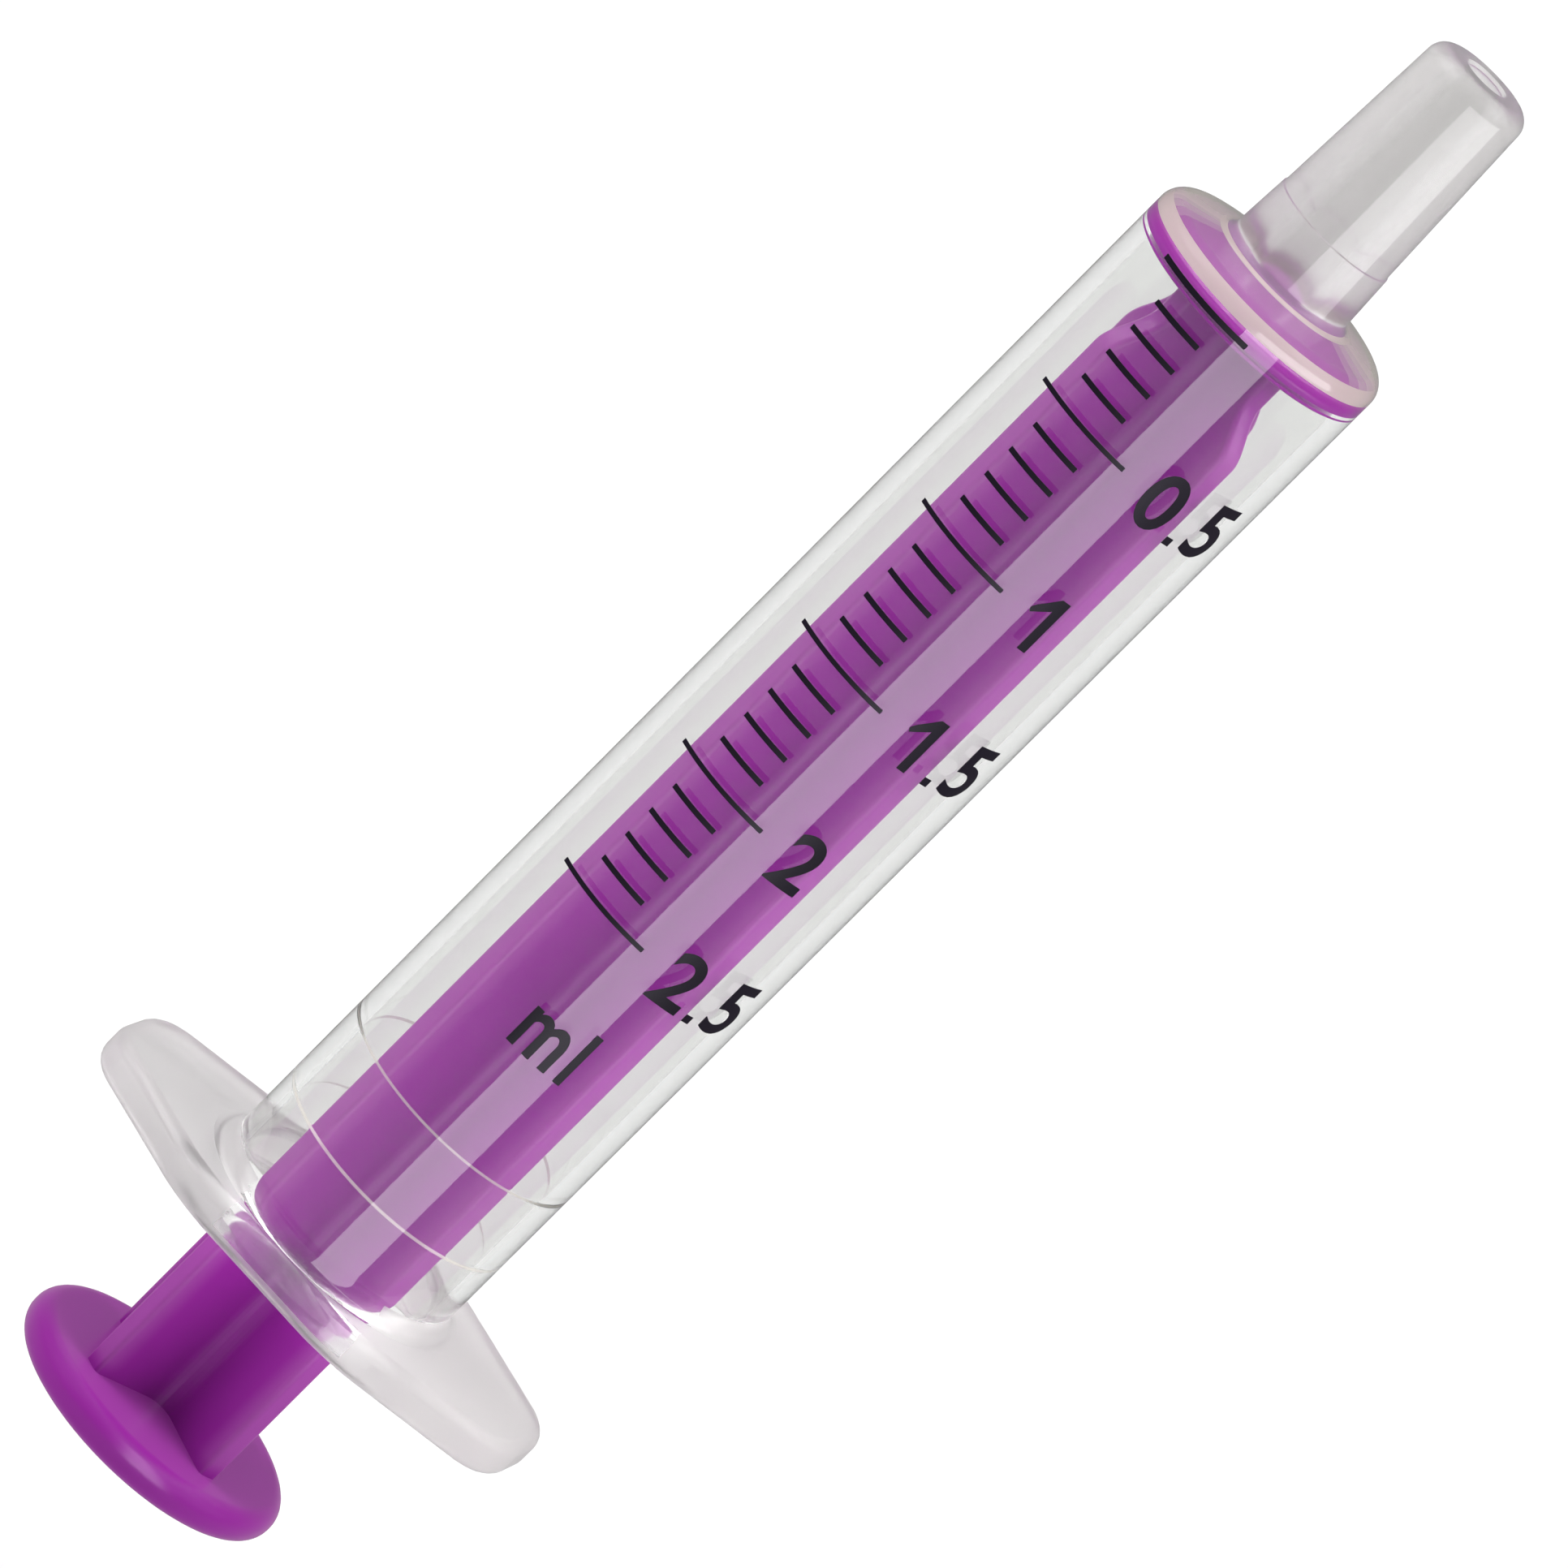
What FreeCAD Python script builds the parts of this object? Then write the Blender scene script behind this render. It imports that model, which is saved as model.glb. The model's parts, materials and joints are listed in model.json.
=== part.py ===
import FreeCAD, Part
import math
import os

from FreeCAD import Vector

# Two-piece oral syringe, 2.5 ml, plunger pushed fully home.
# Frame: millimetres, +Z along the axis towards the nozzle, origin at the centre of the thumb
# disc's flat rear face, so the syringe stands nozzle up. The flange is longest along X, and
# the printed scale is on the -Y side.

# --- driving dimensions -------------------------------------------------------------------
VOLUME_PER_LINE = 100.0         # mm3 between two graduation lines (0.1 ml)
BORE_R = 4.875                  # inside radius of the barrel
BARREL_R = 5.60                 # outside radius of the barrel

THUMB_R = 6.45                  # thumb disc
THUMB_T = 1.60
THUMB_EDGE = 0.75               # rounding of the thumb disc's rim

FLANGE_Z = 9.75                 # rear face of the finger flange
FLANGE_T = 1.75
FLANGE_HALF_LONG = 11.45        # centre to wing tip, along X
FLAT_END = 4.20                 # half length of the flat sides
FLANGE_HALF_WIDE = 6.87         # centre to the flats beside the barrel, along Y
FLANGE_EDGE = 0.55              # rounding of the flange's edges
FLANGE_FILLET = 0.90            # where the barrel rises from the flange

SHOULDER_Z = 65.00              # outer corner of the barrel's closed end
SHOULDER_CONE = 0.25            # rise of the closed end from its corner to the nozzle
SHOULDER_EDGE = 0.80
BORE_END_Z = 63.85              # inner corner of the barrel's closed end
END_RISE = 0.70                 # the closed end and the piston both rise towards the outlet

NOZZLE_BASE_R = 2.86
NOZZLE_STEP_Z = 68.00           # fine step where the seating taper starts
NOZZLE_STEP_R = 2.74
NOZZLE_TAPER_R = 2.69
NOZZLE_TIP_R = 2.38
NOZZLE_EDGE = 0.75
TIP_Z = 76.25
OUTLET_TIP_R = 0.90             # the outlet hole: a short straight land, then it widens inwards
OUTLET_LAND = 1.60
OUTLET_BASE_R = 1.20

RIDGE_R = 4.80                  # inner ridge that keeps the plunger from falling out
RIDGE_LOW_Z = 15.00
RIDGE_HIGH_Z = 18.90
RIDGE_SLOPE = 0.30              # run of the slope at each end of the ridge
ENTRY_R = 4.90                  # barrel mouth behind the ridge
ENTRY_CHAMFER = 0.35

LIP_R = 4.845                   # sealing lips of the piston, 0.03 mm inside the bore
LIP_GROOVE_R = 4.76
PISTON_REAR_Z = 63.10
ZERO_Z = 63.60                  # front edge of the piston, on the zero line at rest
NUB_R = 1.15                    # nub that fills the foot of the outlet hole
NUB_Z = 65.30

VANE_R = 4.50                   # four vanes of the plunger rod
VANE_T = 1.00
VANE_ANGLE = -35.5              # direction of the first vane, degrees from +X
NECK_R = 3.40                   # vanes drawn in behind the piston
NECK_REAR_Z = 59.30
NECK_FRONT_Z = 61.60
VALLEY_FILLET = 0.90            # rounding where two vanes meet

INK_T = 0.03                    # thickness of the printed ink
FRONT = -82.5                   # middle of the printed side, degrees from +X
LONG_LINE = (-43.0, 7.8)        # span of a half-millilitre line, degrees from FRONT
SHORT_LINE = (-30.7, -5.1)      # span of a tenth line
LONG_LINE_W = 0.20
SHORT_LINE_W = 0.24
DIGIT_H = 2.60                  # numerals
DIGIT_W = 1.64
STROKE = 0.34
TEXT_START = 20.0               # left edge of the numerals, degrees from FRONT
POINT_STEP = 0.62               # room that the decimal point takes
DIGIT_GAP = 0.45
UNIT_Z = 25.0                   # middle of the "ml" mark
UNIT_START = -6.0

LINES = 25
LINE_STEP = VOLUME_PER_LINE / (math.pi * BORE_R ** 2)
Z_AXIS = Vector(0, 0, 1)
ORIGIN = Vector(0, 0, 0)

os.makedirs("parts", exist_ok=True)


# --- helpers --------------------------------------------------------------------------------
def save(name, shape):
    """Write one node and print its size."""
    solids = shape.Solids
    assert shape.isValid(), name
    body = solids[0] if len(solids) == 1 else Part.makeCompound(solids)
    body.exportStep("parts/" + name + ".step")
    box = body.BoundBox
    print("%-16s %2d solid(s) %9.2f mm3  x %.2f..%.2f  y %.2f..%.2f  z %.2f..%.2f" % (
        name, len(solids), body.Volume, box.XMin, box.XMax, box.YMin, box.YMax, box.ZMin, box.ZMax))


def revolve(points):
    """Turn a closed (radius, z) outline about Z. A point may be ("arc", through, end)."""
    edges = []
    start = Vector(points[0][0], 0, points[0][1])
    here = start
    for item in points[1:] + [points[0]]:
        if item[0] == "arc":
            through = Vector(item[1][0], 0, item[1][1])
            end = Vector(item[2][0], 0, item[2][1])
            edges.append(Part.Arc(here, through, end).toShape())
        else:
            end = Vector(item[0], 0, item[1])
            if (end - here).Length < 1e-7:
                continue
            edges.append(Part.makeLine(here, end))
        here = end
    face = Part.Face(Part.Wire(edges))
    return face.revolve(ORIGIN, Z_AXIS, 360)


def corner(cr, cz, radius, deg0, deg1):
    """A rounded corner of an outline, as an arc item about (cr, cz)."""
    mid = math.radians(0.5 * (deg0 + deg1))
    end = math.radians(deg1)
    through = (cr + radius * math.cos(mid), cz + radius * math.sin(mid))
    finish = (cr + radius * math.cos(end), cz + radius * math.sin(end))
    return ("arc", through, finish)


def turned(shape, degrees):
    """A copy turned about the syringe's axis."""
    copy = shape.copy()
    copy.rotate(ORIGIN, Z_AXIS, degrees)
    return copy


# --- barrel ---------------------------------------------------------------------------------
# The outside runs up the barrel, over the rounded shoulder and along the nozzle. The inside
# comes back down the outlet hole, across the closed end and down the bore to the mouth.
nozzle_foot = SHOULDER_Z + SHOULDER_CONE
foot_fillet = 0.55
tube = revolve([
    (BARREL_R, FLANGE_Z + 0.2),
    (BARREL_R, SHOULDER_Z - SHOULDER_EDGE),
    corner(BARREL_R - SHOULDER_EDGE, SHOULDER_Z - SHOULDER_EDGE, SHOULDER_EDGE, 0, 90),
    (NOZZLE_BASE_R + foot_fillet, nozzle_foot),
    corner(NOZZLE_BASE_R + foot_fillet, nozzle_foot + foot_fillet, foot_fillet, 270, 180),
    (NOZZLE_STEP_R, NOZZLE_STEP_Z),
    (NOZZLE_TAPER_R, NOZZLE_STEP_Z + 0.05),
    (NOZZLE_TIP_R, TIP_Z - NOZZLE_EDGE),
    corner(NOZZLE_TIP_R - NOZZLE_EDGE, TIP_Z - NOZZLE_EDGE, NOZZLE_EDGE, 0, 90),
    (OUTLET_TIP_R, TIP_Z),
    (OUTLET_TIP_R, TIP_Z - OUTLET_LAND),
    (OUTLET_BASE_R, BORE_END_Z + END_RISE),
    (BORE_R - 0.35, BORE_END_Z),
    corner(BORE_R - 0.35, BORE_END_Z - 0.35, 0.35, 90, 0),
    (BORE_R, RIDGE_HIGH_Z),
    (RIDGE_R, RIDGE_HIGH_Z - RIDGE_SLOPE),
    (RIDGE_R, RIDGE_LOW_Z + RIDGE_SLOPE),
    (ENTRY_R, RIDGE_LOW_Z),
    (ENTRY_R, FLANGE_Z + 0.2),
])

# The flange is a long octagon in plan: flats beside the barrel, slopes towards two blunt tips.
half = [(FLAT_END, FLANGE_HALF_WIDE), (10.75, 3.15), (FLANGE_HALF_LONG, 1.70)]
plan = half + [(x, -y) for x, y in reversed(half)]
plan = plan + [(-x, -y) for x, y in half] + [(-x, y) for x, y in reversed(half)]
outline = Part.makePolygon([Vector(x, y, FLANGE_Z) for x, y in plan + plan[:1]])
plate = Part.Face(outline).extrude(Vector(0, 0, FLANGE_T))
uprights = [e for e in plate.Edges if abs(e.BoundBox.ZLength - FLANGE_T) < 1e-6]
shallow = [e for e in uprights if abs(abs(e.BoundBox.XMin) - FLAT_END) < 1e-6]
plate = plate.makeFillet(6.00, shallow)
sharp = [e for e in plate.Edges if e.BoundBox.XLength + e.BoundBox.YLength < 1e-6]
sharp = [e for e in sharp if abs(e.BoundBox.XMin) > 2 * FLAT_END]
plate = plate.makeFillet(1.40, sharp)
rims = [e for e in plate.Edges if e.BoundBox.ZLength < 1e-6]
plate = plate.makeFillet(FLANGE_EDGE, rims)
root_top = FLANGE_Z + FLANGE_T
root = revolve([
    (BARREL_R - 0.3, root_top - 0.3),
    (BARREL_R + FLANGE_FILLET * 0.55, root_top - 0.3),
    (BARREL_R + FLANGE_FILLET * 0.55, root_top),
    ("arc", (BARREL_R + 0.17, root_top + 0.25), (BARREL_R, root_top + FLANGE_FILLET)),
    (BARREL_R - 0.3, root_top + FLANGE_FILLET),
])
mouth = revolve([
    (0.0, FLANGE_Z - 1.0),
    (ENTRY_R + ENTRY_CHAMFER, FLANGE_Z - 1.0),
    (ENTRY_R + ENTRY_CHAMFER, FLANGE_Z),
    (ENTRY_R, FLANGE_Z + ENTRY_CHAMFER),
    (ENTRY_R, FLANGE_Z + 4.0),
    (0.0, FLANGE_Z + 4.0),
])
hand_end = plate.fuse(root).cut(mouth)
barrel = tube.fuse(hand_end).removeSplitter()
save("barrel", barrel)

# --- plunger --------------------------------------------------------------------------------
# One moulding: thumb disc, rod of four vanes, and a piston with two fine sealing lips.
bulge = 0.6 * (NECK_FRONT_Z - NECK_REAR_Z)
envelope = revolve([
    (0.0, THUMB_T - 0.4),
    (VANE_R, THUMB_T - 0.4),
    (VANE_R, NECK_REAR_Z),
    (NECK_R + 0.25, NECK_FRONT_Z - 0.35),
    (NECK_R, NECK_FRONT_Z),
    (NECK_R, PISTON_REAR_Z + 0.2),
    (0.0, PISTON_REAR_Z + 0.2),
])
length = PISTON_REAR_Z + 1.0
slab = Part.makeBox(4 * VANE_R, VANE_T, length, Vector(-2 * VANE_R, -VANE_T / 2, 0))
cross = slab.fuse(turned(slab, 90)).removeSplitter()
inner = VANE_T / 2 + 0.05
valleys = []
for edge in cross.Edges:
    middle = edge.BoundBox.Center
    if edge.BoundBox.ZLength > length - 1e-3 and abs(middle.x) < inner and abs(middle.y) < inner:
        valleys.append(edge)
cross = cross.makeFillet(VALLEY_FILLET, valleys)
rod = turned(cross, VANE_ANGLE).common(envelope)

thumb = revolve([
    (0.0, 0.0),
    (THUMB_R - THUMB_EDGE, 0.0),
    corner(THUMB_R - THUMB_EDGE, THUMB_EDGE, THUMB_EDGE, 270, 360),
    (THUMB_R, THUMB_T - THUMB_EDGE),
    corner(THUMB_R - THUMB_EDGE, THUMB_T - THUMB_EDGE, THUMB_EDGE, 0, 90),
    (0.0, THUMB_T),
])
piston = revolve([
    (0.0, PISTON_REAR_Z),
    (LIP_R - 0.05, PISTON_REAR_Z),
    (LIP_R, PISTON_REAR_Z + 0.05),
    (LIP_R, PISTON_REAR_Z + 0.12),
    (LIP_GROOVE_R, PISTON_REAR_Z + 0.18),
    (LIP_GROOVE_R, ZERO_Z - 0.18),
    (LIP_R, ZERO_Z - 0.12),
    (LIP_R, ZERO_Z - 0.03),
    (LIP_R - 0.10, ZERO_Z + 0.04),
    (NUB_R + 0.10, ZERO_Z + END_RISE + 0.08),
    (NUB_R, ZERO_Z + END_RISE + 0.16),
    (NUB_R, NUB_Z - 0.3),
    corner(NUB_R - 0.3, NUB_Z - 0.3, 0.3, 0, 90),
    (0.0, NUB_Z),
])
plunger = rod.fuse([thumb, piston]).removeSplitter()
save("plunger", plunger)

# --- printed scale --------------------------------------------------------------------------
# Ink lies on the barrel's outside as a very thin skin.
skin_tall = Part.makeCylinder(BARREL_R + INK_T, 60, Vector(0, 0, 10))
skin = skin_tall.cut(Part.makeCylinder(BARREL_R, 60, Vector(0, 0, 10)))


def line(z, span, width):
    """One graduation line: a thin band part of the way round the barrel."""
    foot = Vector(0, 0, z - width / 2)
    sweep = span[1] - span[0]
    outer = Part.makeCylinder(BARREL_R + INK_T, width, foot, Z_AXIS, sweep)
    core = Part.makeCylinder(BARREL_R, width, foot, Z_AXIS, 360)
    return turned(outer.cut(core), FRONT + span[0])


def prism(corners):
    """A flat outline in (across, up), standing out through the skin along +X."""
    points = [Vector(BARREL_R - 1.0, across, up) for across, up in corners]
    face = Part.Face(Part.makePolygon(points + points[:1]))
    return face.extrude(Vector(2.0, 0, 0))


def bar(x0, y0, x1, y1):
    """An upright or level stroke from corner to corner."""
    return prism([(x0, y0), (x1, y0), (x1, y1), (x0, y1)])


def bow(cx, cy, rx, ry, deg0, deg1):
    """A curved stroke: part of an elliptical ring, one stroke wide."""
    steps = max(4, int(abs(deg1 - deg0) / 12))
    turns = [math.radians(deg0 + (deg1 - deg0) * i / steps) for i in range(steps + 1)]
    outer = [(cx + rx * math.cos(a), cy + ry * math.sin(a)) for a in turns]
    rx2 = rx - STROKE
    ry2 = ry - STROKE
    inside = [(cx + rx2 * math.cos(a), cy + ry2 * math.sin(a)) for a in reversed(turns)]
    return prism(outer + inside)


def glyph(mark):
    """Strokes of one mark, standing on zero, left edge at zero. Returns strokes and width."""
    w, h, s = DIGIT_W, DIGIT_H, STROKE
    if mark == "0":
        return [bow(w / 2, h / 2, w / 2, h / 2, -90, 90), bow(w / 2, h / 2, w / 2, h / 2, 90, 270)], w
    if mark == "1":
        flag = prism([(0.25, h * 0.74), (0.25, h * 0.74 - s), (0.78, h - s * 1.1), (0.78, h)])
        return [bar(0.70, 0, 0.70 + s, h), flag], 0.70 + s + 0.25
    if mark == "2":
        r = w / 2
        top = bow(r, h - r, r, r, -28, 175)
        slope = prism([(0.0, s), (0.0, 0.0), (s * 1.35, s * 0.9), (w - 0.08, h - r - 0.22),
                       (w - 0.5, h - r - 0.40)])
        return [top, slope, bar(0, 0, w, s)], w
    if mark == "5":
        r = 0.80
        bowl = bow(w - r - 0.04, r, r, r, -150, 128)
        stem = prism([(0.16, h * 0.47), (0.16 + s * 0.95, h * 0.47), (0.28 + s, h), (0.28, h)])
        return [bowl, stem, bar(0.28, h - s, w - 0.1, h), bar(0.16, h * 0.47, 0.80, h * 0.47 + s)], w
    if mark == ".":
        return [bar(0, 0, s * 1.1, s * 1.1)], s * 1.1
    if mark == "l":
        return [bar(0, 0, s, h * 1.05)], s
    arch_r = 0.60
    x_height = h * 0.74
    left = bow(arch_r, x_height - arch_r, arch_r, arch_r, 0, 180)
    right = bow(3 * arch_r - s, x_height - arch_r, arch_r, arch_r, 0, 180)
    legs = [bar(0, 0, s, x_height - arch_r * 0.4)]
    legs.append(bar(2 * arch_r - s, 0, 2 * arch_r, x_height - arch_r))
    legs.append(bar(4 * arch_r - 2 * s, 0, 4 * arch_r - s, x_height - arch_r))
    return [left, right] + legs, 4 * arch_r - s


def text(word, z_middle, start):
    """Lay a word round the barrel from an angle, each mark facing straight out."""
    solids = []
    across = math.radians(start) * BARREL_R
    for mark in word:
        strokes, width = glyph(mark)
        shape = strokes[0].fuse(strokes[1:]) if len(strokes) > 1 else strokes[0]
        shape.translate(Vector(0, -width / 2, z_middle - DIGIT_H / 2))
        middle = math.degrees((across + width / 2) / BARREL_R)
        solids += turned(shape.common(skin).removeSplitter(), FRONT + middle).Solids
        across += width + DIGIT_GAP
    return solids


save("zero_line", line(ZERO_Z, LONG_LINE, SHORT_LINE_W))
longs = []
shorts = []
for i in range(1, LINES + 1):
    z = ZERO_Z - i * LINE_STEP
    if i % 5 == 0:
        longs.append(line(z, LONG_LINE, LONG_LINE_W))
    else:
        shorts.append(line(z, SHORT_LINE, SHORT_LINE_W))
save("half_lines", Part.makeCompound(longs))
save("tenth_lines", Part.makeCompound(shorts))

for i in range(1, 6):
    value = ("%.1f" % (0.5 * i)).replace(".0", "")
    z = ZERO_Z - 5 * i * LINE_STEP
    save("numeral_" + value.replace(".", "_"), Part.makeCompound(text(value, z, TEXT_START)))
save("unit_mark", Part.makeCompound(text("ml", UNIT_Z, UNIT_START)))

print("line step %.4f mm, scale %.2f mm long" % (LINE_STEP, LINES * LINE_STEP))
print("travel until the piston meets the ridge: %.2f mm" % (PISTON_REAR_Z - RIDGE_HIGH_Z))
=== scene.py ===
# %% [markdown]
# # An oral syringe, modelled round its CAD frame
#
# A 2.5 ml oral syringe is two mouldings and a print. The barrel is clear polypropylene, with its
# finger flange and blunt nozzle in one piece. The plunger is coloured polyethylene: a thumb disc,
# a rod of four vanes and a piston with fine lips. Black ink on the barrel gives the scale.
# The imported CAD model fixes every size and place, and each piece below is built to it.

# %% Load the frame
import json
import math

import bpy
from mathutils import Matrix, Vector


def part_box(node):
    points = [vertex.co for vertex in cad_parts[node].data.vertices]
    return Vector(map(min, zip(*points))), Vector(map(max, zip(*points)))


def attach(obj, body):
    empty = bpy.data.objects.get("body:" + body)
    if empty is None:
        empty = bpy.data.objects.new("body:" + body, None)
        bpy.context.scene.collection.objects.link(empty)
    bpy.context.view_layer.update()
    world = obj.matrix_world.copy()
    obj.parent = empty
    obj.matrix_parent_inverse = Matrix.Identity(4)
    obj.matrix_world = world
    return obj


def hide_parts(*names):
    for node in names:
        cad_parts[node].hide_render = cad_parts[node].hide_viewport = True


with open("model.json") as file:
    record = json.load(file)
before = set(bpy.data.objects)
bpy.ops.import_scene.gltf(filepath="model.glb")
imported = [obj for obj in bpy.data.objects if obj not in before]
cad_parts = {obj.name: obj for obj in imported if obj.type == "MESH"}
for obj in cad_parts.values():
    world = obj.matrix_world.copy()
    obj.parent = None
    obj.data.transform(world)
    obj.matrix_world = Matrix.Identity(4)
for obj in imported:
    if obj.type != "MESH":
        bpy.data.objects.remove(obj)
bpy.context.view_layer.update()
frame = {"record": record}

MM = 0.001

# %% [markdown]
# ## Sizes
#
# The frame gives the heights and radii that other parts fit: the flange's rear face, the tip,
# the barrel's radius, the outlet's radius and the thumb disc. The sizes that more than one piece
# needs and the frame doesn't state are named here, in millimetres.

# %% Sizes from the frame and the few that it leaves open
mount_r = {m["name"]: m["dims"].get("r_mm") for m in frame["record"]["mounts"]}
barrel_low, barrel_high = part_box("barrel")
plunger_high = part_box("plunger")[1]
zero_low, zero_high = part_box("zero_line")

barrel_r = mount_r["barrel_clamp"]
outlet_r = mount_r["outlet"]
tip_r = mount_r["nozzle"]
flange_z = barrel_low[2] / MM
tip_z = barrel_high[2] / MM
wing_x = barrel_high[0] / MM
flat_y = barrel_high[1] / MM
thumb_r = plunger_high[0] / MM
nub_z = plunger_high[2] / MM
zero_z = 0.5 * (zero_low[2] + zero_high[2]) / MM

bore_r = 4.875
flange_t = 1.75
thumb_t = 1.60
shoulder_z = 65.0
vane_r = 4.50
vane_t = 1.00
line_step = 100.0 / (math.pi * bore_r ** 2)      # 0.1 ml of this bore
SIDES = 128                                      # steps of a full turn
print("barrel", barrel_r, "bore", bore_r, "tip at", round(tip_z, 2))
print("line step", round(line_step, 4))

# %% [markdown]
# ## Drawing an outline and turning it
#
# Almost every surface here was turned in the mould, so most pieces start as an outline of
# (radius, height) points drawn with one extruded vertex, then spun about the syringe's axis.
# A long straight run gets a guard point just inside each end. Without them the smooth shading
# of a rounded corner would leak along the whole run and bend its reflections.

# %% Outline helpers
GUARD = 0.07


def select_only(obj):
    """Make obj the only selected and the active object."""
    bpy.ops.object.select_all(action="DESELECT")
    obj.select_set(True)
    bpy.context.view_layer.objects.active = obj


def arc(cx, cy, radius, start, end, steps=8):
    """Points of a round stretch about (cx, cy), from one angle to another in degrees."""
    turns = [math.radians(start + (end - start) * i / steps) for i in range(steps + 1)]
    return [(cx + radius * math.cos(a), cy + radius * math.sin(a)) for a in turns]


def guarded(points):
    """The same outline, with a guard point inside each end of its long straight runs."""
    out = [points[0]]
    for (x0, y0), (x1, y1) in zip(points, points[1:]):
        run = math.hypot(x1 - x0, y1 - y0)
        if run > 5 * GUARD:
            k = GUARD / run
            out.append((x0 + (x1 - x0) * k, y0 + (y1 - y0) * k))
            out.append((x1 + (x0 - x1) * k, y1 + (y0 - y1) * k))
        out.append((x1, y1))
    return out


def pen(name, points):
    """Draw a line through 3-D points in millimetres, and stay in edit mode with it."""
    bpy.ops.object.select_all(action="DESELECT")
    start = Vector(points[0]) * MM
    bpy.ops.mesh.primitive_plane_add(size=MM, location=start)
    obj = bpy.context.object
    obj.name = name
    bpy.ops.object.transform_apply(location=True)
    bpy.ops.object.mode_set(mode="EDIT")
    bpy.ops.mesh.select_mode(type="VERT")
    bpy.ops.mesh.select_all(action="SELECT")
    bpy.ops.mesh.merge(type="CENTER")
    for a, b in zip(points, points[1:]):
        step = (Vector(b) - Vector(a)) * MM
        bpy.ops.mesh.extrude_region_move(TRANSFORM_OT_translate={"value": step})
    return obj


def clean(threshold=1e-7):
    """In edit mode: weld what coincides and point every face outwards."""
    bpy.ops.mesh.select_all(action="SELECT")
    bpy.ops.mesh.remove_doubles(threshold=threshold)
    bpy.ops.mesh.normals_make_consistent(inside=False)


def lathe(name, outline):
    """Spin an outline of (radius, height) about the axis. Its ends lie on the axis."""
    obj = pen(name, [(r, 0, z) for r, z in guarded(outline)])
    bpy.ops.mesh.select_all(action="SELECT")
    bpy.ops.mesh.spin(steps=SIDES, angle=2 * math.pi, center=(0, 0, 0), axis=(0, 0, 1))
    clean()
    bpy.ops.object.mode_set(mode="OBJECT")
    return obj


def boolean(obj, tool, operation):
    """Join a tool shape to obj or cut it away, and drop the tool."""
    select_only(obj)
    step = obj.modifiers.new("join", "BOOLEAN")
    step.operation = operation
    step.solver = "EXACT"
    step.object = tool
    bpy.ops.object.modifier_apply(modifier=step.name)
    bpy.data.objects.remove(tool)


def edges_where(obj, test):
    """In edit mode: select the edges whose two end points, in millimetres, pass the test."""
    bpy.ops.mesh.select_mode(type="EDGE")
    bpy.ops.mesh.select_all(action="DESELECT")
    bpy.ops.object.mode_set(mode="OBJECT")
    count = 0
    for edge in obj.data.edges:
        a, b = (obj.data.vertices[i].co / MM for i in edge.vertices)
        edge.select = test(a, b)
        count += edge.select
    bpy.ops.object.mode_set(mode="EDIT")
    return count


def smooth(obj, degrees=40):
    """Shade smooth, with the large faces leading the normals at each rounded edge."""
    select_only(obj)
    bpy.ops.object.shade_smooth_by_angle(angle=math.radians(degrees))
    step = obj.modifiers.new("even_normals", "WEIGHTED_NORMAL")
    step.keep_sharp = True
    bpy.ops.object.modifier_apply(modifier=step.name)


def report(obj):
    """Print a piece's triangles and its box in millimetres."""
    obj.data.calc_loop_triangles()
    corners = [v.co / MM for v in obj.data.vertices]
    low = [round(min(c[i] for c in corners), 2) for i in range(3)]
    high = [round(max(c[i] for c in corners), 2) for i in range(3)]
    print(obj.name, len(obj.data.loop_triangles), "triangles", low, high)


# %% [markdown]
# ## The barrel
#
# The real barrel is one shot of clear plastic, so it has to be one closed skin: light bends at
# every surface, and a hidden inner wall would show. It is made from three simple solids. The
# outside is turned, from the flange's root fillet over the rounded shoulder to the blunt tip.
# The flange is a long octagon with rounded corners and edges. The hollow is turned too, and cut
# away last: mouth, retaining ridge, bore, closed end and outlet hole.

# %% Turn the outside of the barrel
root_fillet = 0.90
shoulder_round = 0.80
foot_fillet = 0.55
foot_r = 2.86
foot_z = shoulder_z + 0.25
step_z = 68.0
step_r = 2.74
taper_r = 2.69
tip_round = 0.75
flange_top = flange_z + flange_t
root_inside_z = flange_z + 0.6  # the turned part starts inside the flange's thickness

outside = [(0.0, root_inside_z), (barrel_r + root_fillet * 0.86, root_inside_z)]
outside += arc(barrel_r + root_fillet, flange_top + root_fillet, root_fillet, 262, 180)
outside += arc(barrel_r - shoulder_round, shoulder_z - shoulder_round, shoulder_round, 0, 90, 12)
outside += arc(foot_r + foot_fillet, foot_z + foot_fillet, foot_fillet, 270, 178)
outside += [(step_r, step_z), (taper_r, step_z + 0.05)]
outside += arc(tip_r - tip_round, tip_z - tip_round, tip_round, 2, 90, 12)
outside += [(0.0, tip_z)]
barrel = lathe("clear_barrel", outside)
report(barrel)

# %% Draw the flange and round it
corner_x = 4.20                 # half length of the flat side
wing_tip_y = 1.70               # half width of the wing's end
wing_slope_x, wing_slope_y = wing_x - 0.70, 3.15
flat_bevel, wing_bevel = 1.58, 0.70
quarter = [(corner_x, flat_y), (wing_slope_x, wing_slope_y), (wing_x, wing_tip_y)]
plan = quarter + [(x, -y) for x, y in reversed(quarter)]
plan += [(-x, -y) for x, y in quarter] + [(-x, y) for x, y in reversed(quarter)]
flange_round = 0.55
core_t = flange_t - 2 * flange_round
flange = pen("flange", [(x, y, flange_z + flange_round) for x, y in plan + plan[:1]])
clean()
bpy.ops.mesh.edge_face_add()
bpy.ops.mesh.extrude_region_move(TRANSFORM_OT_translate={"value": (0, 0, core_t * MM)})


def upright_at(x_low, x_high):
    """A test for upright edges whose distance from the YZ plane lies between two values."""
    return lambda a, b: abs(a.z - b.z) > 0.5 * core_t and x_low < abs(a.x) < x_high


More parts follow.
